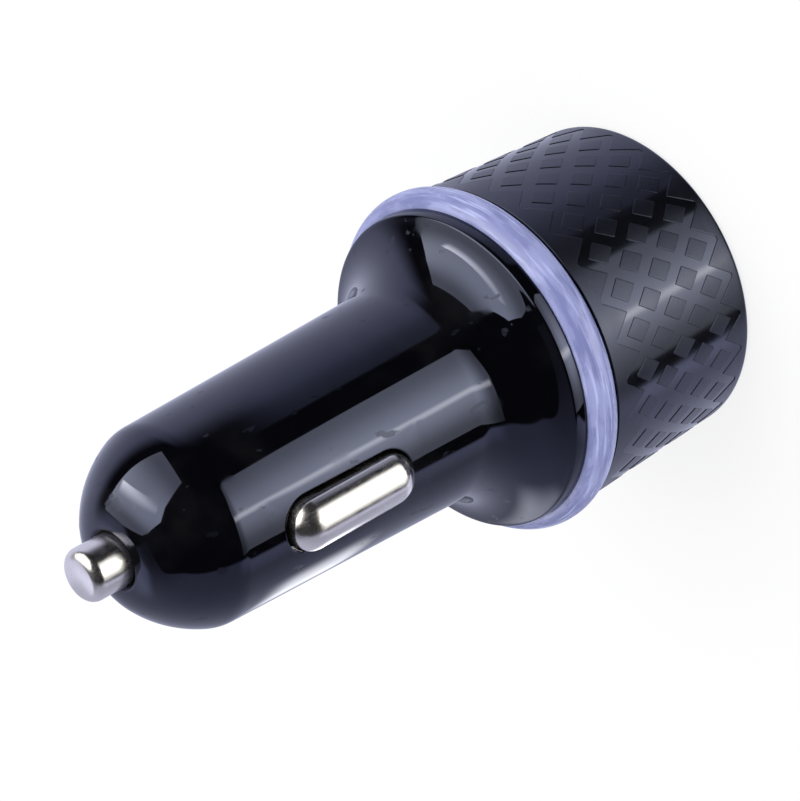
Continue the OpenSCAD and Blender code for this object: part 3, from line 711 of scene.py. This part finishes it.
diamond = flat_block("one_diamond", [(TILE_W / 2, 0), (0, TILE_H / 2), (-TILE_W / 2, 0),
                                     (0, -TILE_H / 2)], groove)
root = (step / 2 - TOOTH_FLAT / 2) * ROOT_WIDER
tooth = flat_block("one_tooth", [(0, -TOOTH_H), (root, ROOT_H), (-root, ROOT_H)], groove - 0.002)
print("strip of", round(step, 3), "mm a column")

# %% [markdown]
# The sleeve is turned, with a floor as deep as the grooves between its two plain bands. The floor
# gets the polished finish.

# %% Sleeve under the lattice
def sleeve_section():
    low, high = LATTICE["middle"] - LATTICE["reach"], LATTICE["middle"] + LATTICE["reach"]
    round_r, rabbet_r, rabbet_z, soft = 0.6, 15.8, 18.78, 0.04
    lip_r, lip_h, seat_r, seat_z = 12.8, 0.6, 14.5, 16.0
    snap_r, snap_low, snap_high = 13.85, 14.1, 15.2

    def floor_at(z):
        return head_radius(z) - groove, z

    section = [(lip_r, 0.0)] + run((13.2, 0.0), (head_radius(round_r) - round_r, 0), 2)
    section += arc((head_radius(round_r) - round_r, round_r), round_r, -90, 0, 10)
    section += [(head_radius(low), low)]
    floor_start = len(section)
    section += [floor_at(low)] + run(floor_at(low + 0.3), floor_at(high), 24) + [floor_at(high)]
    floor_end = len(section)
    section += [(head_radius(high), high), (head_radius(rabbet_z), rabbet_z - soft),
                (head_radius(rabbet_z) - soft, rabbet_z), (rabbet_r, rabbet_z),
                (rabbet_r, head_len), (seat_r, head_len), (seat_r, seat_z), (bore_r, seat_z),
                (bore_r, snap_high), (snap_r, snap_high), (snap_r, snap_low), (bore_r, snap_low),
                (bore_r, lip_h), (lip_r, lip_h)]
    return section, floor_start, floor_end


bm = bmesh.new()
section, floor_start, floor_end = sleeve_section()
turn_round(bm, section, 312, finish_of=lambda k: 1 if floor_start - 1 <= k < floor_end else 0)
sleeve = piece_from(bm, "lattice_head", [black_satin, groove_black], sharp=35)
print("sleeve", len(sleeve.data.polygons), "faces")

# %% [markdown]
# The tree has three parts. `rows_of` sets points on the strip and puts a piece on each. The roll
# moves every point of the joined pieces onto the sleeve. The turned sleeve itself joins them last.

# %% Lattice tree
def lattice_tree():
    tree = bpy.data.node_groups.new("lattice", "GeometryNodeTree")
    face = tree.interface
    face.new_socket("Geometry", in_out="INPUT", socket_type="NodeSocketGeometry")
    words_of = {"Int": ["Columns"],
                "Float": ["Turn", "Middle", "Pitch", "Reach", "Roll radius", "Radius at face",
                          "Taper", "Groove"],
                "Object": ["Diamond", "Tooth"], "Material": ["Finish"]}
    for kind, words in words_of.items():
        for word in words:
            face.new_socket(word, in_out="INPUT", socket_type="NodeSocket" + kind)
    face.new_socket("Geometry", in_out="OUTPUT", socket_type="NodeSocketGeometry")
    given = tree.nodes.new("NodeGroupInput").outputs
    roll_r, columns, middle = given["Roll radius"], given["Columns"], given["Middle"]
    pitch, reach = given["Pitch"], given["Reach"]
    column_w = calc(tree, "DIVIDE", times(tree, roll_r, 2 * math.pi), columns)

    def rows_of(thing, rows, shift, first, flip):
        """Rows of a flat piece: shift is in columns, first is the height of the first row."""
        count = times(tree, columns, rows)
        index = tree.nodes.new("GeometryNodeInputIndex").outputs[0]
        column = calc(tree, "FLOORED_MODULO", index, columns)
        row = calc(tree, "FLOOR", calc(tree, "DIVIDE", index, columns))
        x = times(tree, calc(tree, "ADD", column, shift), column_w)
        y = calc(tree, "ADD", first, times(tree, row, pitch))
        spot = link_in(tree, "ShaderNodeCombineXYZ", {"X": x, "Y": y}).outputs[0]
        points = link_in(tree, "GeometryNodePoints", {"Count": count, "Position": spot}).outputs[0]
        shape = link_in(tree, "GeometryNodeObjectInfo", {"Object": thing}).outputs["Geometry"]
        inputs = {"Points": points, "Instance": shape, "Rotation": (0, 0, math.pi if flip else 0)}
        return link_in(tree, "GeometryNodeInstanceOnPoints", inputs).outputs[0]

    parts = [
        rows_of(given["Diamond"], 3, 0.0, calc(tree, "SUBTRACT", middle, pitch), False),
        rows_of(given["Diamond"], 2, 0.5, calc(tree, "MULTIPLY_ADD", pitch, -0.5, middle), False),
        rows_of(given["Tooth"], 1, 0.5, calc(tree, "ADD", middle, reach), False),
        rows_of(given["Tooth"], 1, 0.5, calc(tree, "SUBTRACT", middle, reach), True),
    ]
    strip = tree.nodes.new("GeometryNodeJoinGeometry")
    for part in parts:
        tree.links.new(part, strip.inputs[0])
    real = link_in(tree, "GeometryNodeRealizeInstances", {"Geometry": strip.outputs[0]}).outputs[0]
    at = axes(tree, tree.nodes.new("GeometryNodeInputPosition").outputs[0])
    angle = calc(tree, "ADD", calc(tree, "DIVIDE", at["X"], roll_r), given["Turn"])
    wall = calc(tree, "MULTIPLY_ADD", at["Y"], given["Taper"], given["Radius at face"])
    radius = calc(tree, "ADD", calc(tree, "SUBTRACT", wall, given["Groove"]), at["Z"])
    x = times(tree, radius, calc(tree, "COSINE", angle))
    y = times(tree, radius, calc(tree, "SINE", angle))
    rolled = link_in(tree, "ShaderNodeCombineXYZ", {"X": x, "Y": y, "Z": at["Y"]}).outputs[0]
    inputs = {"Geometry": real, "Position": rolled}
    moved = link_in(tree, "GeometryNodeSetPosition", inputs).outputs[0]
    inputs = {"Geometry": moved, "Material": given["Finish"]}
    dressed = link_in(tree, "GeometryNodeSetMaterial", inputs).outputs[0]
    whole = tree.nodes.new("GeometryNodeJoinGeometry")
    tree.links.new(dressed, whole.inputs[0])
    tree.links.new(given["Geometry"], whole.inputs[0])
    link_in(tree, "NodeGroupOutput", {0: whole.outputs[0]})
    return tree


# %% [markdown]
# The sleeve carries the tree for a moment, and keeps the plain mesh that comes out.

# %% Roll the lattice round the sleeve
def grow(obj, tree, values):
    mod = obj.modifiers.new(tree.name, "NODES")
    mod.node_group = tree
    known = {s.name: s.identifier for s in tree.interface.items_tree if s.in_out == "INPUT"}
    for word, value in values.items():
        mod[known[word]] = value
    deps = bpy.context.evaluated_depsgraph_get()
    mesh = bpy.data.meshes.new_from_object(obj.evaluated_get(deps))
    obj.modifiers.clear()
    return mesh


rolled = grow(sleeve, lattice_tree(), {
    "Columns": LATTICE["columns"], "Turn": math.radians(LATTICE["turn"]),
    "Middle": LATTICE["middle"] * MM, "Pitch": LATTICE["pitch"] * MM,
    "Reach": LATTICE["reach"] * MM, "Roll radius": roll_r * MM, "Radius at face": face_r * MM,
    "Taper": (ring_side_r - face_r) / head_len, "Groove": groove * MM,
    "Diamond": diamond, "Tooth": tooth, "Finish": black_satin})
sleeve.data = rolled
sleeve.data.name = "lattice_head"
for spare in (diamond, tooth):
    bpy.data.objects.remove(spare)
stands_for(sleeve, "head_sleeve", "housing")

# %% [markdown]
# ## Studio
# The plug stands on its face on a pale floor. Black plastic shows its surroundings, so the studio
# is made of what the reflections need: pale walls at the sides and opposite the lens, darkness
# above the lens, a low card that gives the grey panel and the bright streak along the barrel, and a
# soft box for the lights on the flare and the nose. The cards show in reflections alone.

# %% Floor
def make_floor():
    half, height = 1.5, -0.0001
    mesh = bpy.data.meshes.new("floor")
    corners = [(-half, -half), (half, -half), (half, half), (-half, half)]
    mesh.from_pydata([(x, y, height) for x, y in corners], [], [(0, 1, 2, 3)])
    floor = new_object("floor", mesh)
    mat = bpy.data.materials.new("pale_floor")
    tree = empty_tree(mat)
    ray = tree.nodes.new("ShaderNodeLightPath").outputs
    paint = link_in(tree, "ShaderNodeBsdfDiffuse", {"Color": (0.92, 0.92, 0.93, 1)}).outputs[0]
    inputs = {"Color": (1, 1, 1, 1), "Strength": 1.0}
    glow = link_in(tree, "ShaderNodeEmission", inputs).outputs[0]
    top = mixed(tree, times(tree, ray["Is Camera Ray"], 0.8), paint, glow)
    clear = tree.nodes.new("ShaderNodeBsdfTransparent").outputs[0]
    below = tree.nodes.new("ShaderNodeNewGeometry").outputs["Backfacing"]
    link_in(tree, "ShaderNodeOutputMaterial", {"Surface": mixed(tree, below, top, clear)})
    mesh.materials.append(mat)
    floor.visible_glossy = False


make_floor()

# %% [markdown]
# Reflections see the room's walls, and matt surfaces see an even light. The room is turned round
# the axis, so that its angles count from the lens's side.

# %% Room
STUDIO_TURN = math.radians(33.4)


def sky(tree, way):
    """Angles of a direction, in degrees: round the axis in the studio's turn, and above level."""
    turned = link_in(tree, "ShaderNodeVectorRotate", {"Vector": way, "Angle": -STUDIO_TURN},
                     rotation_type="Z_AXIS").outputs[0]
    at = axes(tree, turned)
    around = times(tree, calc(tree, "ARCTAN2", at["Y"], at["X"]), 180 / math.pi)
    return around, times(tree, calc(tree, "ARCSINE", at["Z"]), 180 / math.pi)


def left_wall(tree, around, up):
    """Pale wall at the left, whose bright edge comes further round near the floor."""
    reach = calc(tree, "ADD", gate(tree, up, 62, 40, -19, 0), gate(tree, up, 44, 0, 5, 17))
    reach = times(tree, reach, gate(tree, up, -38, -18, 0.3, 1))
    edge = calc(tree, "SUBTRACT", around, reach)
    rim = times(tree, gate(tree, edge, -101, -83), gate(tree, up, 4, -14, 0, 0.36))
    level = calc(tree, "ADD", gate(tree, around, -80, -140, 0.4, 0.54), rim)
    level = times(tree, level, gate(tree, up, -38, -44, 1, 1.7))
    return times(tree, gate(tree, edge, -79, -83), level, gate(tree, up, 84, 30, 0.1, 1))


def right_wall(tree, around, up):
    """Pale wall at the right, whose edge leans back with height."""
    lean = times(tree, calc(tree, "MAXIMUM", up, -8), 1.8)
    return gate(tree, calc(tree, "SUBTRACT", around, lean), 76, 116, 0, 0.75)


def back_wall(tree, around, up):
    """Pale wall opposite the lens, above the plug, that lights the tip's end."""
    height = times(tree, gate(tree, up, 28, 46), gate(tree, up, 66, 57))
    return times(tree, height, gate(tree, calc(tree, "ABSOLUTE", around), 132, 156, 0, 0.6))


def make_room():
    world = bpy.data.worlds.new("studio")
    bpy.context.scene.world = world
    tree = empty_tree(world)

    def background(colour, strength):
        inputs = {"Color": (*colour, 1), "Strength": strength}
        return link_in(tree, "ShaderNodeBackground", inputs).outputs[0]

    faint = 0.012
    around, up = sky(tree, tree.nodes.new("ShaderNodeTexCoord").outputs["Generated"])
    light = calc(tree, "ADD", left_wall(tree, around, up), right_wall(tree, around, up))
    light = calc(tree, "ADD", light, calc(tree, "ADD", back_wall(tree, around, up), faint))
    ray = tree.nodes.new("ShaderNodeLightPath").outputs
    first = mixed(tree, ray["Is Glossy Ray"], background((0.97, 0.98, 1.0), 0.75),
                  background((0.89, 0.93, 1.23), light))
    clear = calc(tree, "ADD", ray["Is Camera Ray"], ray["Is Transmission Ray"], clamp=True)
    both = mixed(tree, clear, first, background((1, 1, 1), 1.0))
    link_in(tree, "ShaderNodeOutputWorld", {"Surface": both})


make_room()
print("room with its dark side over the lens")

# %% [markdown]
# Each card is a mesh with an emission shader whose strength follows a curve across it. A curved
# card is given by angles round the axis and heights in millimetres.

# %% Cards
def towards(around, up):
    a, e = math.radians(around) + STUDIO_TURN, math.radians(up)
    return Vector((math.cos(a) * math.cos(e), math.sin(a) * math.cos(e), math.sin(e)))


def make_card(name, bm, mat):
    card = piece_from(bm, name, [mat])
    for ray in ("camera", "diffuse", "transmission", "volume_scatter", "shadow"):
        setattr(card, "visible_" + ray, False)
    print("card", name)


def card_paint(name, strength_of, adds=False, tone=(0.98, 1.0, 1.0)):
    """Glow as strong as strength_of makes it. A card that adds lets what is behind it show."""
    mat = bpy.data.materials.new(name)
    tree = empty_tree(mat)
    place = tree.nodes.new("ShaderNodeTexCoord").outputs["Object"]
    inputs = {"Color": (*tone, 1), "Strength": strength_of(tree, place)}
    glow = link_in(tree, "ShaderNodeEmission", inputs).outputs[0]
    if adds:
        clear = tree.nodes.new("ShaderNodeBsdfTransparent").outputs[0]
        glow = link_in(tree, "ShaderNodeAddShader", {0: glow, 1: clear}).outputs[0]
    link_in(tree, "ShaderNodeOutputMaterial", {"Surface": glow})
    return mat


def curved_card(name, strength, radius, left, right, bottom, top, count=41, **paint):
    """Card that stands on edge on an arc round the axis, between two angles and two heights."""
    bm = bmesh.new()
    columns = []
    for i in range(count):
        a = math.radians(left + (right - left) * i / (count - 1)) + STUDIO_TURN
        x, y = radius * math.cos(a), radius * math.sin(a)
        columns.append([bm.verts.new(Vector((x, y, z)) * MM) for z in (bottom, top)])
    for a, b in zip(columns, columns[1:]):
        bm.faces.new((a[0], b[0], b[1], a[1]))
    make_card(name, bm, card_paint(name, strength, **paint))


def low_strength(tree, place):
    """Brightest in the middle, duller to both sides and upwards, without its upper right corner."""
    around, _ = sky(tree, place)
    height = axes(tree, place)["Z"]
    rise = gate(tree, around, -56, -14, 1.0, 4.6)
    fall = gate(tree, around, -30, 16, 1.0, 0.33)
    dim_top = gate(tree, height, 25 * MM, -45 * MM, 0.28, 1.06)
    dim_foot = gate(tree, height, -46 * MM, -80 * MM, 1, 0.82)
    ceiling = gate(tree, around, -20, 14, 29 * MM, 12 * MM)
    under = gate(tree, calc(tree, "SUBTRACT", height, ceiling), 0.6 * MM, -0.6 * MM)
    end = gate(tree, height, -45 * MM, 24 * MM, 17.5, 9.5)
    before = gate(tree, calc(tree, "SUBTRACT", around, end), 0.7, -0.7)
    return times(tree, rise, fall, dim_top, dim_foot, under, before)


def foot_strength(tree, place):
    """Dim card that stands at the foot of the right wall and fades into it."""
    around, _ = sky(tree, place)
    height = axes(tree, place)["Z"]
    return times(tree, gate(tree, around, 39, 43), gate(tree, around, 42, 76, 0.24, 0.5),
                 gate(tree, around, 96, 62), gate(tree, height, -8 * MM, -20 * MM))


def streak_strength(tree, place):
    """Narrow light that rises slowly and falls at once."""
    around, _ = sky(tree, place)
    return times(tree, gate(tree, around, -26.5, -22), gate(tree, around, -17.5, -22, 0, 4.6))


curved_card("low_card", low_strength, radius=150.0, left=-58.0, right=17.5, bottom=-150.0, top=30.0)
curved_card("foot_card", foot_strength, radius=117.0, left=38.0, right=98.0, bottom=-130.0,
            top=-8.0, adds=True, tone=(0.87, 0.93, 1.26))
curved_card("streak_card", streak_strength, radius=149.0, left=-27.0, right=-17.0, bottom=-150.0,
            top=24.0, count=9, adds=True, tone=(1.07, 1.0, 0.76))

# %% [markdown]
# A small near card gives the pale smear along the barrel's lower edge. Being near, it shows there
# and faintly under the flare, but not on the nose.

# %% Near card
def near_strength(tree, place):
    middle_x, middle_z = -1.5 * MM, 34 * MM
    at = axes(tree, place)
    off_x = calc(tree, "ABSOLUTE", calc(tree, "SUBTRACT", at["X"], middle_x))
    off_z = calc(tree, "ABSOLUTE", calc(tree, "SUBTRACT", at["Z"], middle_z))
    across, along = gate(tree, off_x, 12 * MM, 3 * MM), gate(tree, off_z, 8 * MM, 3 * MM, 0, 2.3)
    return times(tree, across, along)


def near_card(distance, corners):
    bm = bmesh.new()
    bm.faces.new([bm.verts.new(Vector((x, -distance, z)) * MM) for x, z in corners])
    make_card("near_card", bm, card_paint("near_card", near_strength, adds=True, tone=(1, 1, 1)))


near_card(28.5, [(-14, 25), (11, 25), (11, 43), (-14, 43)])

# %% [markdown]
# The soft box is far away and fills the upper right. Its own lamp shows through its cloth as a
# bright band. A second card, closer to the plug, adds that band, because the flare sees it higher
# than the nose does.

# %% Soft box
BOX_FACING = towards(70, 47)
BOX_ACROSS = BOX_FACING.cross(Vector((0, 0, 1))).normalized()
BOX_RISE = BOX_ACROSS.cross(BOX_FACING)
BAND_SLOPE, BAND_RISE = 0.475, 0.06
PLUG_MIDDLE = Vector((0, 0, 45))


def flat_card(name, corners, distance, strength_at, **paint):
    """Flat card across the soft box's direction. Its corners are directions seen from the plug."""
    bm = bmesh.new()
    verts = []
    for around, up in corners:
        d = towards(around, up)
        verts.append(bm.verts.new((PLUG_MIDDLE + d * (distance / d.dot(BOX_FACING))) * MM))
    bm.faces.new(verts)
    centre = (PLUG_MIDDLE + BOX_FACING * distance) * MM

    def strength(tree, place):
        def vector_calc(operation, a, b):
            return link_in(tree, "ShaderNodeVectorMath", {0: a, 1: b}, operation=operation).outputs

        offset = vector_calc("SUBTRACT", place, centre)[0]
        x, y = [vector_calc("DOT_PRODUCT", offset, way / (distance * MM))["Value"]
                for way in (BOX_ACROSS, BOX_RISE)]
        rise = calc(tree, "SUBTRACT", calc(tree, "MULTIPLY_ADD", x, -BAND_SLOPE, y), BAND_RISE)
        return strength_at(tree, x, calc(tree, "ABSOLUTE", rise))

    make_card(name, bm, card_paint(name, strength, **paint))


def cloth_glow(tree, _, off_band):
    return gate(tree, off_band, 0.62, 0.04, 1.3, 3.6)


def band_glow(tree, x, off_band):
    width = calc(tree, "MULTIPLY_ADD", x, -0.12, 0.13)
    inside = calc(tree, "SUBTRACT", 1, calc(tree, "DIVIDE", off_band, width), clamp=True)
    ends = times(tree, gate(tree, x, 0.36, 0.33), gate(tree, x, -0.53, -0.45))
    return times(tree, gate(tree, inside, 0, 1), ends, calc(tree, "MULTIPLY_ADD", x, -9, 4.8))


BOX_CORNERS = [(31, 47), (38, 23), (78, 8.5), (99, 22), (117, 32), (142, 40), (146, 62), (90, 84),
               (26, 76), (19, 58)]
flat_card("soft_box", BOX_CORNERS, 1000.0, cloth_glow)
flat_card("lamp_band", [(28, 48), (30, 68), (112, 48), (112, 26)], 115.0, band_glow,
          adds=True, tone=(1.07, 1.0, 0.84))

# %% [markdown]
# Two broad lamps light the coloured and matt pieces at a plain level. The black plastic hardly
# sees them, because its look comes from the cards.

# %% Lamps
def broad_lamp(name, around, up, distance, size, power):
    lamp = bpy.data.lights.new(name, "AREA")
    lamp.shape, lamp.size, lamp.energy = "SQUARE", size, power
    obj = new_object(name, lamp)
    way = towards(around, up)
    obj.location = way * distance + Vector((0, 0, 0.035))
    obj.rotation_mode = "QUATERNION"
    obj.rotation_quaternion = (-way).to_track_quat("-Z", "Y")
    obj.visible_glossy = False


broad_lamp("lamp_above", around=70, up=60, distance=0.8, size=0.6, power=4.0)
broad_lamp("lamp_front", around=-40, up=30, distance=0.9, size=0.6, power=1.5)
